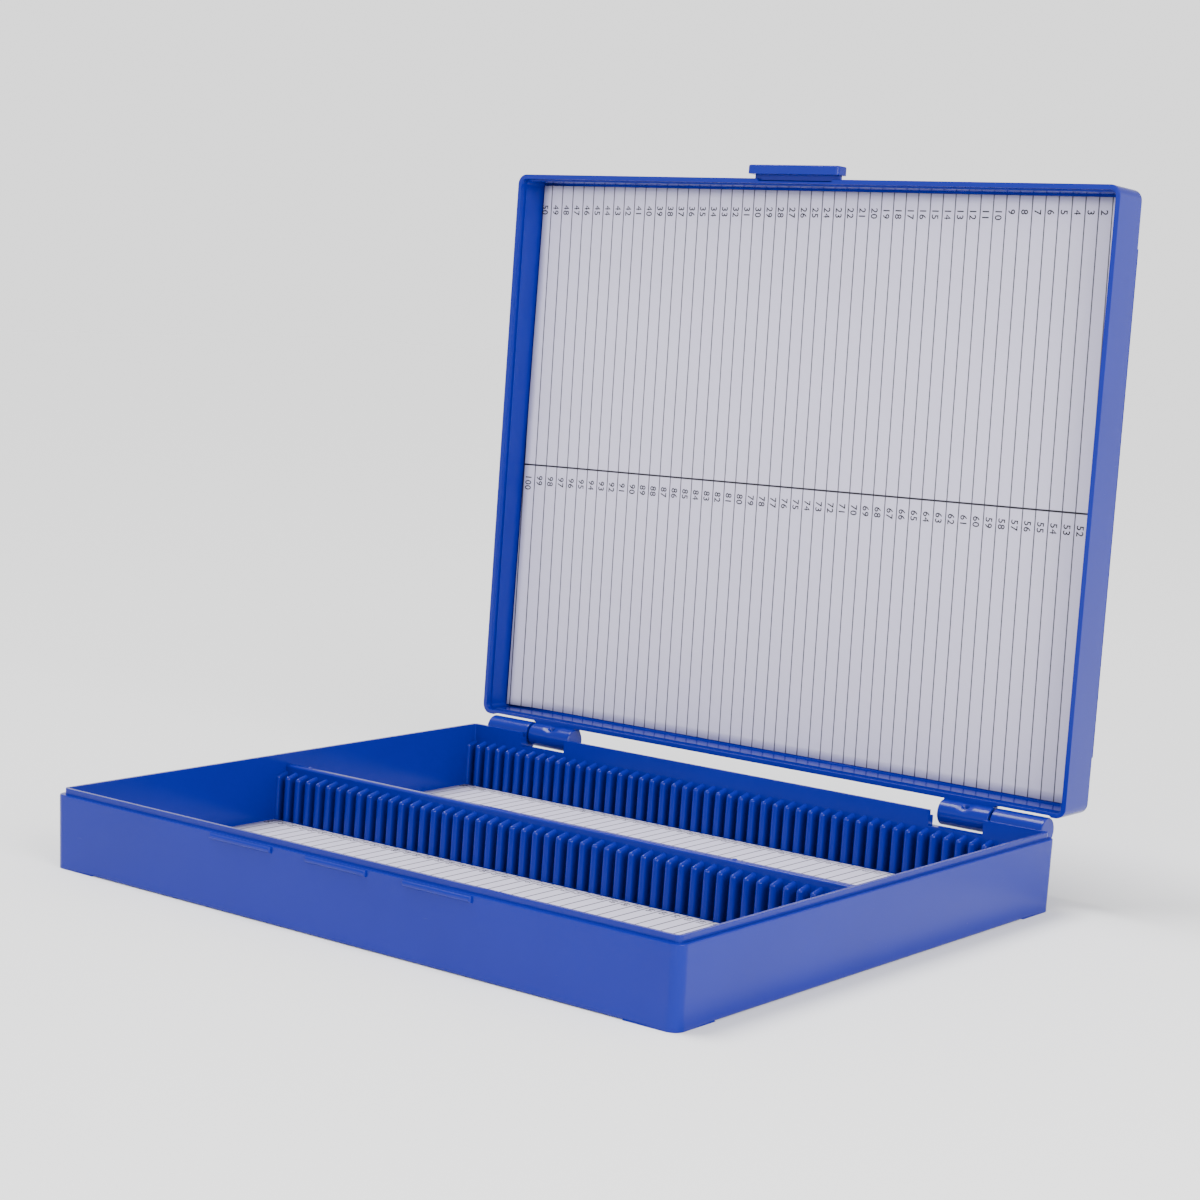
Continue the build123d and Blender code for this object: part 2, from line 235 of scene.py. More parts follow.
class SLIDEBOX_PG_colours(bpy.types.PropertyGroup):
    plastic: colour("Plastic", "Royal blue of the tray and lid", "#0D1988")
    plastic_deep: colour("Plastic, deep", "The same blue where the melt ran thick", "#0B167C")
    card: colour("Card", "Cool white of the lid's index card", "#CAC6DC")
    strip: colour("Strip", "Whiter paper of the tray's strips", "#C9C5D8")
    ink: colour("Ink", "Grey-black of the printed lines and numbers", "#100E16")
    strip_ink: colour("Strip ink", "Grey of the lines and numbers on the strips", "#1C1924")
    steel: colour("Pin", "Drawn steel of the hinge pins", "#B8BCC2")
    floor: colour("Backdrop", "Pale studio floor", "#F6F6F6")


GROUPS = {
    "slidebox_tray": SLIDEBOX_PG_tray,
    "slidebox_ribs": SLIDEBOX_PG_ribs,
    "slidebox_lid": SLIDEBOX_PG_lid,
    "slidebox_latch": SLIDEBOX_PG_latch,
    "slidebox_hinge": SLIDEBOX_PG_hinge,
    "slidebox_print": SLIDEBOX_PG_print,
    "slidebox_colours": SLIDEBOX_PG_colours,
}


# ------------------------------------------------------------------ mesh tools

def faces_where(bm, test):
    bm.normal_update()
    return [f for f in bm.faces if test(f.calc_center_median(), f.normal)]


def edges_where(bm, test):
    return [e for e in bm.edges if test(*(v.co for v in e.verts))]


def near(value, target):
    return abs(value - target) < SLACK


def level(a, b, axis, place):
    """Whether both ends of an edge are at one place along an axis."""
    return near(a[axis], place) and near(b[axis], place)


def outline(bm, half_x, half_y, share, *heights):
    """Edges at some heights that lie further out than a share of the half length or depth."""
    return edges_where(bm, lambda a, b: any(level(a, b, Z, h) for h in heights) and all(
        max(abs(p.x) / half_x, abs(p.y) / half_y) > share for p in (a, b)))


def only(kind, geom):
    return [g for g in geom if isinstance(g, kind)]


def with_edges(faces):
    """The faces with their edges and vertices, as the cutting operators want them."""
    return list({g for f in faces for g in (f, *f.edges, *f.verts)})


def edges_of(verts):
    return list({e for v in verts for e in v.link_edges})


def cut(bm, faces, point, normal):
    bmesh.ops.bisect_plane(bm, geom=with_edges(faces), dist=1e-6, plane_co=point, plane_no=normal)


def score(bm, test, x, y):
    """Cut faces along the four lines that mark off their corners."""
    for side in (-1, 1):
        cut(bm, faces_where(bm, test), (side * x, 0, 0), (1, 0, 0))
        cut(bm, faces_where(bm, test), (0, side * y, 0), (0, 1, 0))


def inset(bm, faces, amount):
    bmesh.ops.inset_region(
        bm, faces=faces, thickness=amount, use_even_offset=True, use_boundary=True)


def pull(bm, faces, move):
    """Extrude a region of faces and return the faces at its new end."""
    made = bmesh.ops.extrude_face_region(bm, geom=faces)["geom"]
    left = [f for f in faces if f.is_valid]
    if left:
        bmesh.ops.delete(bm, geom=left, context="FACES")
    bmesh.ops.translate(bm, verts=only(bmesh.types.BMVert, made), vec=move)
    return only(bmesh.types.BMFace, made)


def round_over(bm, edges, radius, segments=3):
    if edges:
        bmesh.ops.bevel(bm, geom=edges, offset=radius, offset_type="OFFSET", segments=segments,
                        profile=0.5, affect="EDGES", clamp_overlap=True, material=-1)


def block(bm, low, high, radius=0.0):
    """A box between two corners, its edges rounded over if it has a radius."""
    low, high = Vector(low), Vector(high)
    place = Matrix.Translation((low + high) / 2) @ Matrix.Diagonal((*(high - low), 1))
    verts = bmesh.ops.create_cube(bm, size=1.0, matrix=place)["verts"]
    if radius:
        round_over(bm, edges_of(verts), radius, 2)


def rounded_block(bm, long, deep, corner, low, high):
    """An upright block with rounded upright corners."""
    middle = Matrix.Translation((0, 0, (low + high) / 2))
    place = middle @ Matrix.Diagonal((long, deep, high - low, 1))
    bmesh.ops.create_cube(bm, size=1.0, matrix=place)
    round_over(bm, edges_where(bm, lambda a, b: abs(a.z - b.z) > HAIR), corner, 8)


def lean(bm, foot, drift):
    """Draw the outline in by a drift at one height, which gives the walls their draft."""
    for v in bm.verts:
        if near(v.co.z, foot):
            v.co.x -= math.copysign(drift, v.co.x)
            v.co.y -= math.copysign(drift, v.co.y)


def prism(bm, points, x_low, x_high):
    """A prism along X from (y, z) points."""
    verts = [bmesh.ops.create_vert(bm, co=(x_low, y, z))["vert"][0] for y, z in points]
    face = bmesh.ops.contextual_create(bm, geom=verts)["faces"]
    before = set(bm.faces)
    made = bmesh.ops.extrude_face_region(bm, geom=face, use_keep_orig=True)["geom"]
    bmesh.ops.translate(bm, verts=only(bmesh.types.BMVert, made), vec=(x_high - x_low, 0, 0))
    skin = [f for f in bm.faces if f not in before] + list(face)
    bmesh.ops.recalc_face_normals(bm, faces=skin)


def barrel(bm, radius, x_low, x_high, steps=56, rings=0):
    """A closed cylinder on the hinge axis, with rings to shape it or else softened ends."""
    place = Matrix.Translation((0.5 * (x_low + x_high), hinge.y, hinge.z)) @ across
    verts = bmesh.ops.create_cone(
        bm, cap_ends=True, cap_tris=False, segments=steps, radius1=radius, radius2=radius,
        depth=abs(x_high - x_low), matrix=place)["verts"]
    runs_along = lambda e: abs(e.verts[0].co.x - e.verts[1].co.x) > HAIR
    edges = edges_of(verts)
    if rings:
        long = [e for e in edges if runs_along(e)]
        bmesh.ops.subdivide_edges(bm, edges=long, cuts=rings, use_grid_fill=True)
    else:
        round_over(bm, [e for e in edges if not runs_along(e)], BARREL_EDGE, 2)


def gusset(bm, x_low, x_high, foot, up, leave):
    """The wedge between a barrel and its wall, a hair shorter than the barrel."""
    radius = bpy.context.scene.slidebox_hinge.radius
    rear = bpy.context.scene.slidebox_tray.depth / 2 - SUNK
    leave_y = hinge.y + radius * math.cos(leave)
    leave_z = radius * math.sin(leave)
    root_z = leave_z + (leave_y - rear) / math.tan(leave)
    prism(bm, [(rear, foot), (hinge.y, foot), (leave_y, hinge.z + up * leave_z),
               (rear, hinge.z + up * root_z)], x_low + BARREL_GAP, x_high - BARREL_GAP)


def twin(bm, before):
    """Mirror everything made since `before` to the other end of the box."""
    new = [f for f in bm.faces if f not in before]
    copy = bmesh.ops.duplicate(bm, geom=with_edges(new))["geom"]
    bmesh.ops.scale(bm, vec=(-1, 1, 1), verts=only(bmesh.types.BMVert, copy))
    bmesh.ops.reverse_faces(bm, faces=only(bmesh.types.BMFace, copy))


def piece_from(bm, name, body, material):
    """Make a piece that rides on a body, and free its bmesh."""
    mesh = bpy.data.meshes.new(name)
    bm.to_mesh(mesh)
    bm.free()
    mesh.materials.append(material)
    piece = bpy.data.objects.new(name, mesh)
    bpy.context.scene.collection.objects.link(piece)
    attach(piece, body)
    return piece


def settle(bm, name, body, node, crease=CREASE):
    """Turn a finished bmesh into a moulded piece of the box, in place of a node."""
    bmesh.ops.remove_doubles(bm, verts=bm.verts, dist=1e-7)
    bmesh.ops.recalc_face_normals(bm, faces=bm.faces)
    for f in bm.faces:
        f.smooth = True
    for e in bm.edges:
        e.smooth = not (len(e.link_faces) == 2 and e.calc_face_angle() > math.radians(crease))
    piece = piece_from(bm, name, body, moulded_polypropylene())
    weighted = piece.modifiers.new("Even normals", "WEIGHTED_NORMAL")
    weighted.keep_sharp = True
    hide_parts(node)


# ------------------------------------------------------------------ materials

def linear(code):
    """An sRGB hex colour as linear RGBA."""
    parts = [int(code[i:i + 2], 16) / 255 for i in (1, 3, 5)]
    return (*(c / 12.92 if c <= 0.04045 else ((c + 0.055) / 1.055) ** 2.4 for c in parts), 1.0)


def add(tree, kind, links=None, **settings):
    """Add a node, set its sockets and properties, and link its inputs."""
    made = tree.nodes.new(kind)
    for key, value in settings.items():
        if key in made.bl_rna.properties:
            setattr(made, key, value)
        else:
            made.inputs[key.replace("_", " ")].default_value = value
    for key, source in (links or {}).items():
        tree.links.new(source, made.inputs[key])
    return made


def fresh(name):
    """A material by name, with an empty node tree only if it is new."""
    made = bpy.data.materials.get(name)
    if made:
        return made, None
    made = bpy.data.materials.new(name)
    made.use_nodes = True
    made.node_tree.nodes.clear()
    return made, made.node_tree


def finish_material(tree, shader):
    out = add(tree, "ShaderNodeOutputMaterial")
    tree.links.new(shader.outputs[0], out.inputs["Surface"])


def moulded_polypropylene():
    """Injection-moulded polypropylene: an even satin-gloss blue, a faint cloudiness from the
    melt, a spark-eroded mould's fine ripple, and a few hairlines from handling."""
    made, tree = fresh("moulded_polypropylene_blue")
    if not tree:
        return made
    colours = bpy.context.scene.slidebox_colours
    place = add(tree, "ShaderNodeTexCoord").outputs["Object"]
    # The melt's cloudiness spreads over about 30 mm.
    cloud = add(tree, "ShaderNodeTexNoise", {"Vector": place}, Scale=33.0, Detail=3.0)
    tint = add(tree, "ShaderNodeMix", {"Factor": cloud.outputs["Fac"]}, data_type="RGBA")
    tint.inputs["A"].default_value = linear(colours.plastic)
    tint.inputs["B"].default_value = linear(colours.plastic_deep)
    # Handling leaves hairlines about 0.1 mm wide and some 10 mm long, drawn at 0.3 mm to show.
    stretch = add(tree, "ShaderNodeMapping", {"Vector": place})
    stretch.inputs["Scale"].default_value = (100.0, 2600.0, 2600.0)
    stretch.inputs["Rotation"].default_value = (0.3, 0.5, 0.7)
    hair = add(tree, "ShaderNodeTexNoise", {"Vector": stretch.outputs[0]}, Scale=1.0, Detail=1.0)
    hairline = add(tree, "ShaderNodeMapRange", {"Value": hair.outputs["Fac"]})
    hairline.inputs["From Min"].default_value = 0.70
    hairline.inputs["From Max"].default_value = 0.90
    # Gloss wanders a little in patches of about 12 mm, duller on the hairlines.
    patch = add(tree, "ShaderNodeTexNoise", {"Vector": place}, Scale=83.0, Detail=2.0)
    gloss = add(tree, "ShaderNodeMapRange", {"Value": patch.outputs["Fac"]})
    gloss.inputs["To Min"].default_value = 0.17
    gloss.inputs["To Max"].default_value = 0.25
    dull = add(tree, "ShaderNodeMath", {0: hairline.outputs[0], 2: gloss.outputs[0]},
               operation="MULTIPLY_ADD")
    dull.inputs[1].default_value = 0.10
    # The mould's texture is about 0.25 mm across, drawn at 0.5 mm to show.
    grain = add(tree, "ShaderNodeTexNoise", {"Vector": place}, Scale=2000.0, Detail=2.0)
    ripple = add(tree, "ShaderNodeBump", {"Height": grain.outputs["Fac"]},
                 Strength=0.045, Distance=0.0002)
    shader = add(tree, "ShaderNodeBsdfPrincipled",
                 {"Base Color": tint.outputs["Result"], "Roughness": dull.outputs[0],
                  "Normal": ripple.outputs[0]})
    shader.inputs["IOR"].default_value = 1.49
    shader.inputs["Specular IOR Level"].default_value = 0.22
    finish_material(tree, shader)
    return made


def drawn_steel():
    """Drawn stainless wire: bright, with fine scratches along its length."""
    made, tree = fresh("drawn_stainless_steel")
    if not tree:
        return made
    colours = bpy.context.scene.slidebox_colours
    place = add(tree, "ShaderNodeTexCoord").outputs["Object"]
    along = add(tree, "ShaderNodeMapping", {"Vector": place})
    along.inputs["Scale"].default_value = (80.0, 9000.0, 9000.0)
    lines = add(tree, "ShaderNodeTexNoise", {"Vector": along.outputs[0]}, Scale=1.0)
    rough = add(tree, "ShaderNodeMapRange", {"Value": lines.outputs["Fac"]})
    rough.inputs["To Min"].default_value = 0.25
    rough.inputs["To Max"].default_value = 0.45
    shader = add(tree, "ShaderNodeBsdfPrincipled", {"Roughness": rough.outputs[0]}, Metallic=1.0)
    shader.inputs["Base Color"].default_value = linear(colours.steel)
    finish_material(tree, shader)
    return made


def printed_paper(name, paper, ink, line, middle=None):
    """Uncoated index stock, offset printed: matt, slightly fibrous, ruled in thin grey lines.
    The ruling follows the sheet's own print map, in metres."""
    made, tree = fresh(name)
    if not tree:
        return made
    ruling = bpy.context.scene.slidebox_print
    sheet = add(tree, "ShaderNodeUVMap", uv_map="print")
    parts = add(tree, "ShaderNodeSeparateXYZ", {"Vector": sheet.outputs[0]})

    def rule(value, width):
        """1 on a line at zero distance, fading over a third of its width."""
        fade = add(tree, "ShaderNodeMapRange", {"Value": value}, interpolation_type="SMOOTHSTEP")
        fade.inputs["From Min"].default_value = width * 0.7
        fade.inputs["From Max"].default_value = width * 0.3
        return fade.outputs[0]

    column = add(tree, "ShaderNodeMath", {0: parts.outputs["X"]}, operation="PINGPONG")
    column.inputs[1].default_value = ruling.pitch / 2
    mark = rule(column.outputs[0], line)
    # Ink takes unevenly on the fibres: it breaks up over about 0.3 mm.
    place = add(tree, "ShaderNodeTexCoord").outputs["Object"]
    fibre = add(tree, "ShaderNodeTexNoise", {"Vector": place}, Scale=3000.0, Detail=2.0)
    take = add(tree, "ShaderNodeMapRange", {"Value": fibre.outputs["Fac"]})
    take.inputs["To Min"].default_value = 0.8
    take.inputs["To Max"].default_value = 1.0
    inked = add(tree, "ShaderNodeMath", {0: mark, 1: take.outputs[0]}, operation="MULTIPLY")
    if middle is not None:
        row = add(tree, "ShaderNodeMath", {0: parts.outputs["Y"]}, operation="SUBTRACT")
        row.inputs[1].default_value = middle
        away = add(tree, "ShaderNodeMath", {0: row.outputs[0]}, operation="ABSOLUTE")
        inked = add(tree, "ShaderNodeMath",
                    {0: inked.outputs[0], 1: rule(away.outputs[0], ruling.middle)},
                    operation="MAXIMUM")
    # Handling and the fibres leave the white a little uneven over 20 mm.
    cloud = add(tree, "ShaderNodeTexNoise", {"Vector": place}, Scale=50.0, Detail=4.0)
    shade = add(tree, "ShaderNodeMapRange", {"Value": cloud.outputs["Fac"]})
    shade.inputs["To Min"].default_value = 0.955
    shade.inputs["To Max"].default_value = 1.0
    white = add(tree, "ShaderNodeMix", {"B": shade.outputs[0]}, data_type="RGBA",
                blend_type="MULTIPLY", Factor=1.0)
    white.inputs["A"].default_value = linear(paper)
    tone = add(tree, "ShaderNodeMix", {"Factor": inked.outputs[0]}, data_type="RGBA")
    tree.links.new(white.outputs["Result"], tone.inputs["A"])
    tone.inputs["B"].default_value = linear(ink)
    bump = add(tree, "ShaderNodeBump", {"Height": fibre.outputs["Fac"]},
               Strength=0.08, Distance=0.00005)
    shader = add(tree, "ShaderNodeBsdfPrincipled",
                 {"Base Color": tone.outputs["Result"], "Normal": bump.outputs[0]}, Roughness=0.82)
    shader.inputs["IOR"].default_value = 1.46
    finish_material(tree, shader)
    return made


def printing_ink(name, ink):
    """Offset ink on paper: a flat grey-black film that lets the fibres show through."""
    made, tree = fresh(name)
    if not tree:
        return made
    place = add(tree, "ShaderNodeTexCoord").outputs["Object"]
    fibre = add(tree, "ShaderNodeTexNoise", {"Vector": place}, Scale=4000.0, Detail=2.0)
    tone = add(tree, "ShaderNodeMix", {"Factor": fibre.outputs["Fac"]}, data_type="RGBA")
    tone.inputs["A"].default_value = linear(ink)
    tone.inputs["B"].default_value = tuple(min(1.0, c * 1.9) for c in linear(ink)[:3]) + (1.0,)
    shader = add(tree, "ShaderNodeBsdfPrincipled",
                 {"Base Color": tone.outputs["Result"]}, Roughness=0.7)
    finish_material(tree, shader)
    return made


# ------------------------------------------------------------------ pieces

class SLIDEBOX_OT_tray(bpy.types.Operator):
    """Make the tray: floor, walls, lip, feet, ridges and the outer knuckles"""
    bl_idname = "slidebox.tray"
    bl_label = "Tray"

    def execute(self, context):
        tray = context.scene.slidebox_tray
        knuckles = context.scene.slidebox_hinge
        latch = context.scene.slidebox_latch
        half_x, half_y = tray.length / 2, tray.depth / 2
        lip_top = tray.shoulder + tray.lip
        bm = bmesh.new()
        rounded_block(bm, tray.length, tray.depth, tray.corner, tray.foot, tray.shoulder)
        lean(bm, tray.foot, (tray.shoulder - tray.foot) * math.tan(tray.draft))

        top = faces_where(bm, lambda c, n: n.z > FACING)
        inset(bm, top, tray.ledge)
        top = pull(bm, top, (0, 0, tray.lip))
        inset(bm, top, tray.wall - tray.ledge)
        pull(bm, top, (0, 0, tray.floor - lip_top))

        pad_x, pad_y = half_x - tray.foot_reach, half_y - tray.foot_reach
        under = lambda c, n: near(c.z, tray.foot) and n.z < -FACING
        score(bm, under, pad_x, pad_y)
        pads = faces_where(bm, lambda c, n: under(c, n) and abs(c.x) > pad_x and abs(c.y) > pad_y)
        pull(bm, pads, (0, 0, -tray.foot))

        notch = (knuckles.lid_inner - NOTCH_INNER, knuckles.lid_outer + NOTCH_OUTER)
        for side in (-1, 1):
            low, high = sorted(side * x for x in notch)
            self.notch(bm, low, high, tray.shoulder - tray.notch_drop, half_y)

        bmesh.ops.recalc_face_normals(bm, faces=bm.faces)
        # The lip's edges are softened, but not where it is cut at the gaps.
        end_wall = half_x - 4 * tray.wall
        round_over(bm, edges_where(bm, lambda a, b: level(a, b, Z, lip_top)
                                   and not (near(a.x, b.x) and abs(a.x) < end_wall)), LIP_EDGE)
        round_over(bm, outline(bm, half_x, half_y, 0.986, tray.shoulder), SHOULDER_EDGE, 2)
        round_over(bm, outline(bm, half_x, half_y, 0.95, tray.foot), FOOT_EDGE, 2)
        round_over(bm, edges_where(bm, lambda a, b: level(a, b, Z, tray.floor)), INSIDE_EDGE)

        made = set(bm.faces)
        barrel(bm, knuckles.radius, knuckles.tray_inner, knuckles.tray_outer)
        gusset(bm, knuckles.tray_inner, knuckles.tray_outer, tray.shoulder, -1,
               knuckles.tray_gusset)
        ledge = hinge.z - STOP_LEVEL
        block(bm, (knuckles.tray_inner, hinge.y, ledge - LEDGE_HEIGHT),
              (knuckles.tray_inner + STOP_LAP, hinge.y + STOP_REACH, ledge), SOFT_EDGE)
        self.ridge(bm, *SIDE_RIDGE, half_y, tray.shoulder - RIDGE_DROP, latch)
        twin(bm, made)
        self.ridge(bm, -MIDDLE_RIDGE, MIDDLE_RIDGE, half_y, tray.shoulder - RIDGE_DROP, latch)
        # The gate leaves a small pip under the floor.
        place = Matrix.Translation((0, 0, tray.foot)) @ Matrix.Diagonal((1, 1, GATE_FLATNESS, 1))
        bmesh.ops.create_uvsphere(
            bm, u_segments=24, v_segments=8, radius=GATE_RADIUS, matrix=place)
        settle(bm, "tray_moulding", "base", "base_tray")
        return {"FINISHED"}

    def notch(self, bm, low, high, bottom, half_y):
        """Cut a gap through the rear wall and close its cut faces."""
        zone = half_y - NOTCH_ZONE
        rear = lambda c, n: c.y > zone and (abs(n.z) < UPRIGHT or c.z > bottom and n.z > 0.5)
        for x in (low, high):
            cut(bm, faces_where(bm, rear), (x, 0, 0), (1, 0, 0))
        inside = lambda c, n: c.y > zone and low < c.x < high and c.z > NOTCH_FLOOR
        cut(bm, faces_where(bm, lambda c, n: inside(c, n) and abs(n.z) < UPRIGHT),
            (0, 0, bottom), (0, 0, 1))
        gone = faces_where(bm, lambda c, n: inside(c, n) and c.z > bottom + SLACK / 2)
        bmesh.ops.delete(bm, geom=gone, context="FACES")

        def gap_edges(axis, place):
            return [e for e in bm.edges if e.is_boundary
                    and level(*(v.co for v in e.verts), axis, place)]
        bmesh.ops.contextual_create(bm, geom=gap_edges(Z, bottom))
        for x in (low, high):
            bmesh.ops.edgeloop_fill(bm, edges=gap_edges(X, x))

    def ridge(self, bm, low, high, half_y, top, latch):
        """A bar under the shoulder, rounded along its length and at both ends."""
        front = -half_y - latch.ridge_stand
        block(bm, (low, front, top - latch.ridge), (high, SKIN - half_y, top))
        new = edges_where(bm, lambda a, b: level(a, b, Y, front)
                          and low - SLACK <= min(a.x, b.x) and max(a.x, b.x) <= high + SLACK)
        round_over(bm, new, latch.ridge_stand * RIDGE_ROUND, 4)


class SLIDEBOX_OT_divider(bpy.types.Operator):
    """Make the wall between the two bays"""
    bl_idname = "slidebox.divider"
    bl_label = "Divider"

    def execute(self, context):
        bm = bmesh.new()
        low, high = divider_low, divider_high
        root = INSIDE_EDGE      # reaches through the rounds at floor and end walls
        block(bm, (low.x - root, low.y, low.z - root), (high.x + root, high.y, high.z))
        long = (high.x - low.x) / 2
        round_over(bm, edges_where(bm, lambda a, b: level(a, b, Z, high.z)
                                   and abs(a.x - b.x) > long), DIVIDER_CREST, 4)
        # Two pips of flash are left on the crest.
        for x in FLASH_PLACES:
            place = Matrix.Translation((x, FLASH_ASIDE, high.z)) @ Matrix.Diagonal(FLASH_SHAPE)
            bmesh.ops.create_uvsphere(
                bm, u_segments=12, v_segments=8, radius=FLASH_RADIUS, matrix=place)
        settle(bm, "divider", "base", "divider_wall")
        return {"FINISHED"}


class SLIDEBOX_OT_ribs(bpy.types.Operator):
    """Make the four rows of ribs that hold the slides"""
    bl_idname = "slidebox.ribs"
    bl_label = "Slot ribs"

    def rib(self, ribs, floor):
        """One rib: a round-nosed post with a domed crest that climbs back to the wall."""
        bm = bmesh.new()
        half = ribs.width / 2
        top = floor + ribs.nose
        block(bm, (-half, -SKIN, floor - SUNK), (half, ribs.reach, top))
        round_over(bm, edges_where(bm, lambda a, b: level(a, b, Y, ribs.reach)
                                   and near(a.x, b.x)), half * NOSE_ROUND, 5)
        cap = faces_where(bm, lambda c, n: n.z > FACING)
        nose = ribs.reach - half
        for low, high in zip(DOME, DOME[1:]):
            low, high = math.radians(low), math.radians(high)
            cap = pull(bm, cap, (0, 0, half * (math.sin(high) - math.sin(low))))
            narrow = math.cos(high) / math.cos(low)
            for v in {v for f in cap for v in f.verts}:
                v.co.x *= narrow
                if v.co.y > nose:
                    v.co.y = nose + (v.co.y - nose) * narrow
        for v in bm.verts:
            share = min(1.0, (v.co.z - floor) / ribs.nose)
            if v.co.z > top - SLACK / 2:
                v.co.z += ribs.rise * max(0.0, min(1.0, (nose - v.co.y) / nose))
            # The mould's draft: wider and deeper at the floor.
            v.co.x *= 1 + RIB_SWELL * (1 - 2 * share)
            if v.co.y > 0:
                v.co.y += RIB_LEAN * (1 - 2 * share)
        return bm

    def execute(self, context):
        ribs = context.scene.slidebox_ribs
        tray = context.scene.slidebox_tray
        inner_face = tray.depth / 2 - tray.wall
        rows = {
            "slot_rack_front_wall": (-inner_face, 1),
            "slot_rack_divider_front": (divider_low.y, -1),
            "slot_rack_divider_rear": (divider_high.y, 1),
            "slot_rack_rear_wall": (inner_face, -1),
        }
        start = -ribs.pitch * (ribs.count - 1) / 2
        for node, (wall, facing) in rows.items():
            bm = self.rib(ribs, tray.floor)
            first = with_edges(bm.faces)
            for index in range(1, ribs.count):
                made = bmesh.ops.duplicate(bm, geom=first)["geom"]
                bmesh.ops.translate(
                    bm, verts=only(bmesh.types.BMVert, made), vec=(index * ribs.pitch, 0, 0))
            bmesh.ops.translate(bm, verts=bm.verts, vec=(start, 0, 0))
            if facing < 0:
                bmesh.ops.rotate(bm, cent=(0, 0, 0), verts=bm.verts,
                                 matrix=Matrix.Rotation(math.pi, 3, "Z"))
            bmesh.ops.translate(bm, verts=bm.verts, vec=(0, wall, 0))
            settle(bm, node.replace("slot_rack", "ribs"), "base", node,
                   crease=45.0)
        return {"FINISHED"}


class SLIDEBOX_OT_lid(bpy.types.Operator):
    """Make the lid: top, walls, latch tab and the inner knuckles"""
    bl_idname = "slidebox.lid"
    bl_label = "Lid"

    def execute(self, context):
        tray = context.scene.slidebox_tray
        lid = context.scene.slidebox_lid
        knuckles = context.scene.slidebox_hinge
        half_x, half_y = tray.length / 2, tray.depth / 2
        top = lid.seat + lid.height
        bm = bmesh.new()
        rounded_block(bm, tray.length, tray.depth, tray.corner, lid.seat, top)
        lean(bm, top, lid.height * math.tan(tray.draft))

        rim = faces_where(bm, lambda c, n: n.z < -FACING)
        inset(bm, rim, lid.rim)
        rim = pull(bm, rim, (0, 0, lid.rim_step))
        inset(bm, rim, lid.wall - lid.rim)
        pull(bm, rim, (0, 0, lid.ceiling - lid.rim_step))

        recess_x, recess_y = half_x - lid.recess, half_y - lid.recess
        panel = lambda c, n: near(c.z, top) and n.z > FACING
        score(bm, panel, recess_x, recess_y)
        cross = faces_where(bm, lambda c, n: panel(c, n) and (
            abs(c.x) < recess_x or abs(c.y) < recess_y))
        pull(bm, cross, (0, 0, lid.rise))
        self.reliefs(bm, half_y, knuckles)
        self.pocket(bm, half_y, lid.seat)
        bmesh.ops.recalc_face_normals(bm, faces=bm.faces)

        round_over(bm, outline(bm, half_x, half_y, 0.983, top, top + lid.rise), LID_EDGE)
        ceiling = lid.seat + lid.ceiling
        round_over(bm, edges_where(bm, lambda a, b: level(a, b, Z, ceiling)), INSIDE_EDGE)
        round_over(bm, edges_where(bm, lambda a, b: level(a, b, Z, lid.seat)), SOFT_EDGE, 2)

        made = set(bm.faces)
        self.knuckle(bm, knuckles)
        gusset(bm, knuckles.lid_inner, knuckles.lid_outer, lid.seat, 1, knuckles.lid_gusset)
        twin(bm, made)
        self.tab(bm, half_y, lid, context.scene.slidebox_latch)
        bmesh.ops.rotate(bm, cent=hinge, verts=bm.verts,
                         matrix=Matrix.Rotation(-open_angle, 3, "X"))
        made = set(bm.faces)
        self.stop_bar(bm, knuckles)
        twin(bm, made)
        settle(bm, "lid_moulding", "lid", "lid_shell")
        return {"FINISHED"}

    def reliefs(self, bm, half_y, knuckles):
        """Hollow the rear wall over the tray's knuckles, round as they are."""
        barrel_reach = knuckles.radius + BARREL_GAP
        reach = barrel_reach + knuckles.relief
        stations = [knuckles.tray_inner - step for step in RELIEF_STEPS]
        stations += [knuckles.tray_outer + step for step in reversed(RELIEF_STEPS)]
        rear = lambda c, n: n.y > FACING and c.y > half_y - SKIN
        for x in [side * station for station in stations for side in (-1, 1)]:
            cut(bm, faces_where(bm, rear), (x, 0, 0), (1, 0, 0))
        over = lambda c, n: rear(c, n) and stations[0] < abs(c.x) < stations[-1]
        for rise in RELIEF_CUTS:
            cut(bm, faces_where(bm, over), (0, 0, hinge.z + rise), (0, 0, 1))
        for v in bm.verts:
            along, rise = abs(v.co.x), v.co.z - hinge.z
            on_rear = v.co.y > half_y - SKIN
            if not on_rear or not stations[0] < along < stations[-1] or rise > RELIEF_TOP:
                continue
            depth = math.sqrt(max(0.0, reach ** 2 - rise ** 2)) - barrel_reach
            full = stations[1] + SLACK / 2 < along < stations[-2] - SLACK / 2
            v.co.y -= max(0.0, depth) * (1.0 if full else RELIEF_SHELF)

    def pocket(self, bm, half_y, seat):
        """Press the hollow behind the latch tab into the front wall."""
        reach = POCKET_HALF + POCKET_SLOPE
        front = lambda c, n: n.y < -FACING and c.y < SKIN - half_y
        for x in (-reach, -POCKET_HALF, POCKET_HALF, reach):
            cut(bm, faces_where(bm, front), (x, 0, 0), (1, 0, 0))
        behind = lambda c, n: front(c, n) and abs(c.x) < reach
        for rise in (POCKET_HEIGHT, POCKET_HEIGHT + POCKET_SLOPE):
            cut(bm, faces_where(bm, behind), (0, 0, seat + rise), (0, 0, 1))
        side, top = POCKET_HALF + POCKET_SLOPE / 2, seat + POCKET_HEIGHT + POCKET_SLOPE / 2
        for v in bm.verts:
            if v.co.y < SKIN - half_y and abs(v.co.x) < side and v.co.z < top:
                v.co.y += POCKET_DEPTH

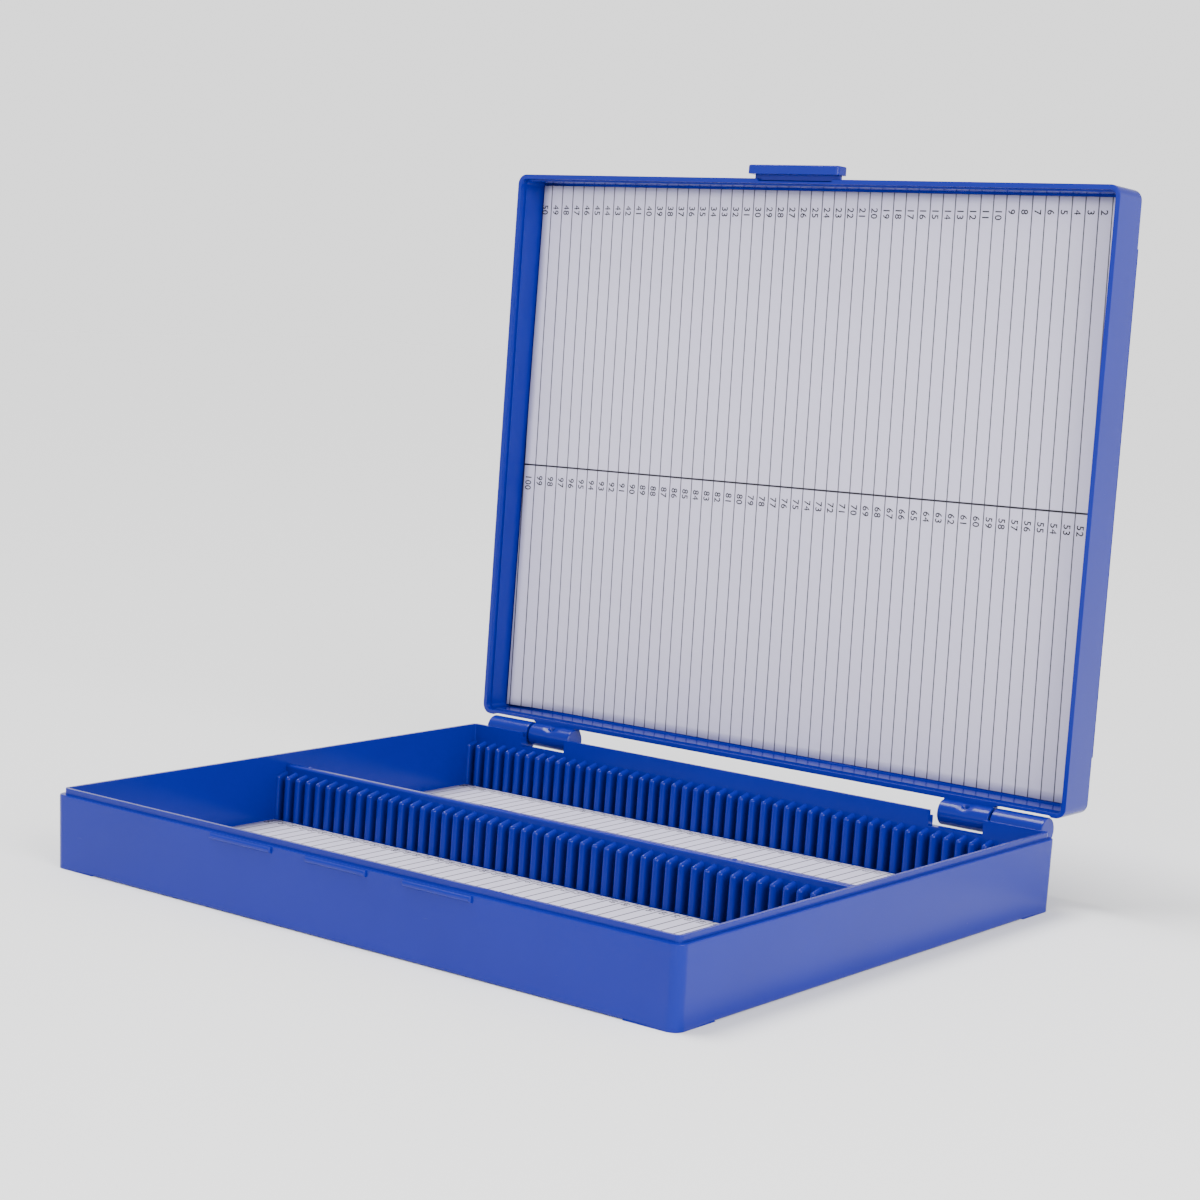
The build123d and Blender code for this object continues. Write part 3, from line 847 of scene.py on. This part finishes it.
    def knuckle(self, bm, knuckles):
        """A barrel with a sunk mark and a small blind hole in its crown."""
        before = set(bm.verts)
        barrel(bm, knuckles.radius, knuckles.lid_inner, knuckles.lid_outer, 120, 84)
        middle = (knuckles.lid_inner + knuckles.lid_outer) / 2
        crown = Matrix.Rotation(open_angle, 3, "X") @ Vector(
            (0, -math.cos(HOLE_ANGLE), math.sin(HOLE_ANGLE)))
        for v in set(bm.verts) - before:
            out = Vector((0, v.co.y - hinge.y, v.co.z - hinge.z))
            end = min(abs(v.co.x - knuckles.lid_inner), abs(v.co.x - knuckles.lid_outer))
            inward = max(0.0, BARREL_EDGE - end)
            trim = BARREL_EDGE - math.sqrt(max(0.0, BARREL_EDGE ** 2 - inward ** 2))
            away = math.hypot(v.co.x - middle, knuckles.radius * out.angle(crown))
            mark = SINK_DEPTH * max(0.0, 1 - (away / SINK_REACH) ** 2) ** 2
            hole = HOLE_DEPTH * max(0.0, min(1.0, (HOLE_RADIUS - away) / HOLE_SLOPE))
            v.co -= out.normalized() * (trim + mark + hole)

    def stop_bar(self, bm, knuckles):
        """The bar that lands on the tray's ledge, and the root that holds it."""
        low, high = hinge.z - STOP_LEVEL + STOP_GAP, hinge.z - STOP_LEVEL + STOP_GAP + BAR_HEIGHT
        inner = knuckles.lid_outer - STOP_LAP
        block(bm, (inner, hinge.y + BAR_START, low),
              (knuckles.tray_inner + STOP_LAP, hinge.y + STOP_REACH, high), SOFT_EDGE)
        block(bm, (inner + HAIR, hinge.y + knuckles.radius / 2, low + HAIR),
              (knuckles.lid_outer - HAIR, hinge.y + STOP_REACH - HAIR, high - HAIR), SOFT_EDGE)

    def tab(self, bm, half_y, lid, latch):
        """The latch tab: a rounded plate on a neck, its lower inner edge rounded more than its
        other inner edges.
        """
        inner = -half_y - latch.gap
        outer = inner - latch.thickness
        half = latch.width / 2
        low, high = lid.seat - latch.overhang, lid.seat + latch.rise
        before = set(bm.faces)
        block(bm, (-half, outer, low), (half, inner, high))
        plate = lambda test: [e for e in edges_where(bm, test) if e.link_faces[0] not in before]
        round_over(bm, plate(lambda a, b: near(a.x, b.x) and near(a.z, b.z)), TAB_CORNER, 4)
        round_over(bm, plate(lambda a, b: level(a, b, Y, outer)), TAB_EDGE)
        round_over(bm, plate(lambda a, b: level(a, b, Y, inner) and level(a, b, Z, low)),
                   TAB_EDGE, 2)
        round_over(bm, plate(lambda a, b: level(a, b, Y, inner) and not near(a.z, low)),
                   SOFT_EDGE, 2)
        block(bm, (NECK_INSET - half, inner - SUNK, lid.seat + NECK_START),
              (half - NECK_INSET, SUNK - half_y, high - NECK_INSET), SOFT_EDGE)


class SLIDEBOX_OT_papers(bpy.types.Operator):
    """Make the index card in the lid and the index strips in the tray, with their numbers"""
    bl_idname = "slidebox.papers"
    bl_label = "Index papers"

    def lay(self, bm, name, place, body, slot, material):
        """Set a flat shape down by its place, printed side out, as a piece."""
        bmesh.ops.transform(bm, matrix=place, verts=bm.verts)
        upward = place.to_3x3() @ Vector((0, 0, 1))
        bm.normal_update()
        faces = [f for f in bm.faces if f.normal.dot(upward) < 0]
        if faces:
            bmesh.ops.reverse_faces(bm, faces=faces)
        return piece_from(bm, name, body, material)

    def sheet(self, name, size, grid, shape, place, body, slot, material, node, thickness,
              turn=0.0):
        """A thin sheet with its own print map; shape bends it and place sets it down."""
        bm = bmesh.new()
        bmesh.ops.create_grid(bm, x_segments=grid[0], y_segments=grid[1], size=0.5)
        bmesh.ops.scale(bm, vec=(*size, 1), verts=bm.verts)
        layer = bm.loops.layers.uv.new("print")
        back = Matrix.Rotation(turn, 3, "Z")
        for f in bm.faces:
            f.smooth = True
            for corner in f.loops:
                corner[layer].uv = (back @ corner.vert.co).xy
        for v in bm.verts:
            v.co.z = shape(v.co.x, v.co.y)
        piece = self.lay(bm, name, place, body, slot, material)
        solid = piece.modifiers.new("Paper thickness", "SOLIDIFY")
        solid.thickness = thickness
        solid.offset = -1.0
        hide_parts(node)

    def glyphs(self):
        """The ten digits as flat meshes, drawn one unit high."""
        line = bpy.data.curves.new("digit", "FONT")
        line.resolution_u = 3
        digit = bpy.data.objects.new("digit", line)
        bpy.context.scene.collection.objects.link(digit)
        made = []
        for number in range(10):
            line.body = str(number)
            line.offset = 0.0 if number == 4 else DIGIT_BOLD    # a bolder 4 would close its eye
            bpy.context.view_layer.update()
            graph = bpy.context.evaluated_depsgraph_get()
            made.append(bpy.data.meshes.new_from_object(digit.evaluated_get(graph)))
        bpy.data.objects.remove(digit)
        return made

    def numbers(self, name, glyphs, labels, height, place, shape, body, slot, material):
        """Numbers read down the sheet, each at its (label, x, y) on the sheet."""
        bm = bmesh.new()
        scale = height / DIGIT_TALL
        for label, x, y in labels:
            for index, digit in enumerate(str(label)):
                before = set(bm.verts)
                bm.from_mesh(glyphs[int(digit)])
                for v in [v for v in bm.verts if v not in before]:
                    down = (v.co.x + index * DIGIT_STEP) * scale
                    aside = (v.co.y - DIGIT_TALL / 2) * scale
                    v.co = Vector((x + aside, y - down, 0))
                    v.co.z = shape(v.co.x, v.co.y) + PRINT_LIFT
        self.lay(bm, name, place, body, slot, material)

    def card(self, context, glyphs):
        """The card on the lid's ceiling, numbered 1 to 50 over 51 to 100."""
        tray = context.scene.slidebox_tray
        lid = context.scene.slidebox_lid
        ruling = context.scene.slidebox_print
        colours = context.scene.slidebox_colours
        margin = lid.wall + CARD_MARGIN
        card_length, card_depth = tray.length - 2 * margin, tray.depth - 2 * margin

        def curled(x, y):
            """The card lies flat but for its left edge, which lifts more towards the hinge."""
            edge = max(0.0, (-CURL_START - x) / CURL_RUN)
            low = 0.5 - y / card_depth
            wave = CARD_WAVE * noise.noise(Vector((x * 30, y * 30, 0.0)))
            return ruling.curl * edge ** 2 * (0.35 + 0.65 * low) + wave + CARD_WAVE

        # Sheet coordinates: x as the box, y towards the latch, z out of the lid's ceiling.
        face = lid.seat + lid.ceiling - CARD_THICKNESS
        shut = Matrix(((1, 0, 0, 0), (0, -1, 0, 0), (0, 0, -1, face), (0, 0, 0, 1)))
        swing = (Matrix.Translation(hinge) @ Matrix.Rotation(-open_angle, 4, "X")
                 @ Matrix.Translation(-hinge))
        place = swing @ shut
        ruled = printed_paper("offset_printed_index_card", colours.card, colours.ink,
                              ruling.line, -ruling.middle_place)
        self.sheet("index_card", (card_length, card_depth), (80, 60), curled, place, "lid",
                   "paper_card", ruled, "lid_index_card", CARD_THICKNESS, -ruling.skew)
        turn = Matrix.Rotation(ruling.skew, 3, "Z")
        labels = []
        for column in range(COLUMNS):
            x = (FIRST_COLUMN - column) * ruling.pitch - CARD_SHIFT
            for label, y in ((column + 1, card_depth / 2 - CARD_TOP_ROW),
                             (column + 1 + COLUMNS, -ruling.middle_place - CARD_LOWER_ROW)):
                spot = turn @ Vector((x, y, 0))
                labels.append((label, spot.x, spot.y))
        ink = printing_ink("offset_ink_black", colours.ink)
        self.numbers("index_card_numbers", glyphs, labels, ruling.digits, place, curled, "lid",
                     "paper_card", ink)

    def strips(self, context, glyphs):
        """The strips on the floors of the two bays."""
        ruling = context.scene.slidebox_print
        colours = context.scene.slidebox_colours
        ink = printing_ink("offset_ink_grey", colours.strip_ink)
        ruled = printed_paper("offset_printed_index_strip", colours.strip, colours.strip_ink,
                              ruling.strip_line)
        size = (strip_high.x - strip_low.x, strip_high.y - strip_low.y)
        for name, first in (("front", 51), ("rear", 1)):
            low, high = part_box(f"index_strip_{name}")
            flat = lambda x, y: STRIP_WAVE * noise.noise(Vector((x * 40, y * 40, low.y)))
            place = Matrix.Translation((0, (low.y + high.y) / 2, high.z - STRIP_SINK))
            self.sheet(f"index_strip_{name}_paper", size, (60, 20), flat, place, "base",
                       "paper_strip", ruled, f"index_strip_{name}", STRIP_THICKNESS)
            labels = [(first + n, (FIRST_COLUMN - n) * ruling.pitch, size[1] / 2 - STRIP_ROW)
                      for n in range(COLUMNS)]
            self.numbers(f"index_strip_{name}_numbers", glyphs, labels, ruling.digits * 0.9,
                         place, flat, "base", "paper_strip", ink)

    def execute(self, context):
        glyphs = self.glyphs()
        self.card(context, glyphs)
        self.strips(context, glyphs)
        for m in glyphs:
            bpy.data.meshes.remove(m)
        return {"FINISHED"}


class SLIDEBOX_OT_pins(bpy.types.Operator):
    """Give the hinge pins their drawn steel"""
    bl_idname = "slidebox.pins"
    bl_label = "Hinge pins"

    def execute(self, context):
        for node in ("hinge_pin_left", "hinge_pin_right"):
            pin = frame["nodes"][node]
            pin.data.materials.clear()
            pin.data.materials.append(drawn_steel())
        return {"FINISHED"}


class SLIDEBOX_OT_stage(bpy.types.Operator):
    """Set up the pale floor, the soft lights and the camera"""
    bl_idname = "slidebox.stage"
    bl_label = "Stage"

    def light(self, name, place, target, size, power):
        """A rectangular lamp that looks at a target."""
        lamp = bpy.data.lights.new(name, "AREA")
        lamp.shape = "RECTANGLE"
        lamp.size, lamp.size_y = size
        lamp.energy = power
        made = bpy.data.objects.new(name, lamp)
        made.location = place
        made.rotation_mode = "QUATERNION"
        made.rotation_quaternion = (Vector(target) - Vector(place)).to_track_quat("-Z", "Y")
        bpy.context.scene.collection.objects.link(made)

    def floor(self, scene):
        bm = bmesh.new()
        bmesh.ops.create_grid(bm, x_segments=1, y_segments=1, size=4.0)
        bmesh.ops.translate(bm, verts=bm.verts, vec=(0, 0, -SLACK))
        mesh = bpy.data.meshes.new("studio_floor")
        bm.to_mesh(mesh)
        bm.free()
        floor, tree = fresh("matt_studio_paper")
        shader = add(tree, "ShaderNodeBsdfPrincipled", Roughness=0.9)
        shader.inputs["Base Color"].default_value = linear(scene.slidebox_colours.floor)
        shader.inputs["Specular IOR Level"].default_value = 0.1
        finish_material(tree, shader)
        mesh.materials.append(floor)
        ground = bpy.data.objects.new("studio_floor", mesh)
        scene.collection.objects.link(ground)

    def walls(self, scene):
        """The studio's walls are bright up to about 10 degrees, and its ceiling is dim."""
        world = bpy.data.worlds.new("studio")
        world.use_nodes = True
        tree = world.node_tree
        way = add(tree, "ShaderNodeTexCoord").outputs["Generated"]
        rise = add(tree, "ShaderNodeSeparateXYZ", {"Vector": way}).outputs["Z"]
        fade = add(tree, "ShaderNodeMapRange", {"Value": rise}, interpolation_type="SMOOTHSTEP")
        fade.inputs["From Min"].default_value = 0.12
        fade.inputs["From Max"].default_value = 0.40
        fade.inputs["To Min"].default_value = 1.7
        fade.inputs["To Max"].default_value = 0.7
        back = tree.nodes["Background"]
        back.inputs["Color"].default_value = (1, 1, 1, 1)
        tree.links.new(fade.outputs[0], back.inputs["Strength"])
        scene.world = world

    def overhead(self, scene):
        key = bpy.data.lights.new("overhead", "SUN")
        key.energy = 3.7
        key.angle = math.radians(28)
        made = bpy.data.objects.new("overhead", key)
        made.rotation_mode = "QUATERNION"
        made.rotation_quaternion = Vector((0.40, 0.12, -1.0)).to_track_quat("-Z", "Y")
        scene.collection.objects.link(made)

    def camera(self, scene):
        """A view from the front right, a little above the tray, turned slightly."""
        azimuth, elevation, roll = (math.radians(a) for a in (37.954, 6.999, 2.843))
        target = Vector((0.01033, 0.0, 0.0784))
        distance = 0.6656
        away = Vector((math.sin(azimuth) * math.cos(elevation),
                       -math.cos(azimuth) * math.cos(elevation), math.sin(elevation)))
        right = Vector((math.cos(azimuth), math.sin(azimuth), 0))
        upright = away.cross(right)
        tilted = math.cos(roll) * right + math.sin(roll) * upright
        above = away.cross(tilted)
        camera = bpy.data.objects.new("camera", bpy.data.cameras.new("camera"))
        camera.data.lens = 77.11
        camera.data.clip_start, camera.data.clip_end = 0.01, 20.0
        camera.matrix_world = (Matrix.Translation(target + away * distance)
                               @ Matrix((tilted, above, away)).transposed().to_4x4())
        scene.collection.objects.link(camera)
        scene.camera = camera

    def execute(self, context):
        self.floor(context.scene)
        self.walls(context.scene)
        self.overhead(context.scene)
        self.light("right", place=(1.0, -0.35, 0.5), target=(0, 0, 0.08), size=(0.7, 0.7),
                   power=14.0)
        self.light("front", place=(0.1, -1.2, 0.7), target=(0, 0, 0.1), size=(0.9, 0.6),
                   power=5.0)
        self.camera(context.scene)
        return {"FINISHED"}


PIECES = (SLIDEBOX_OT_tray, SLIDEBOX_OT_divider, SLIDEBOX_OT_ribs, SLIDEBOX_OT_lid,
          SLIDEBOX_OT_papers, SLIDEBOX_OT_pins, SLIDEBOX_OT_stage)


class SLIDEBOX_PT_panel(bpy.types.Panel):
    """Sizes, colours and pieces of the slide box"""
    bl_idname = "SLIDEBOX_PT_panel"
    bl_label = "Slide box"
    bl_space_type = "VIEW_3D"
    bl_region_type = "UI"
    bl_category = "Slide box"

    def draw(self, context):
        for name in GROUPS:
            box = self.layout.box()
            box.label(text=name.removeprefix("slidebox_").capitalize())
            group = getattr(context.scene, name)
            for key in group.__annotations__:
                box.prop(group, key)
        for piece in PIECES:
            self.layout.operator(piece.bl_idname)


def register():
    for name, group in GROUPS.items():
        bpy.utils.register_class(group)
        setattr(bpy.types.Scene, name, bpy.props.PointerProperty(type=group))
    for cls in (*PIECES, SLIDEBOX_PT_panel):
        bpy.utils.register_class(cls)


def unregister():
    for cls in (SLIDEBOX_PT_panel, *reversed(PIECES)):
        bpy.utils.unregister_class(cls)
    for name, group in reversed(list(GROUPS.items())):
        delattr(bpy.types.Scene, name)
        bpy.utils.unregister_class(group)


def main():
    register()
    for piece in PIECES:
        group, name = piece.bl_idname.split(".")
        getattr(getattr(bpy.ops, group), name)()


if __name__ == "__main__":
    main()
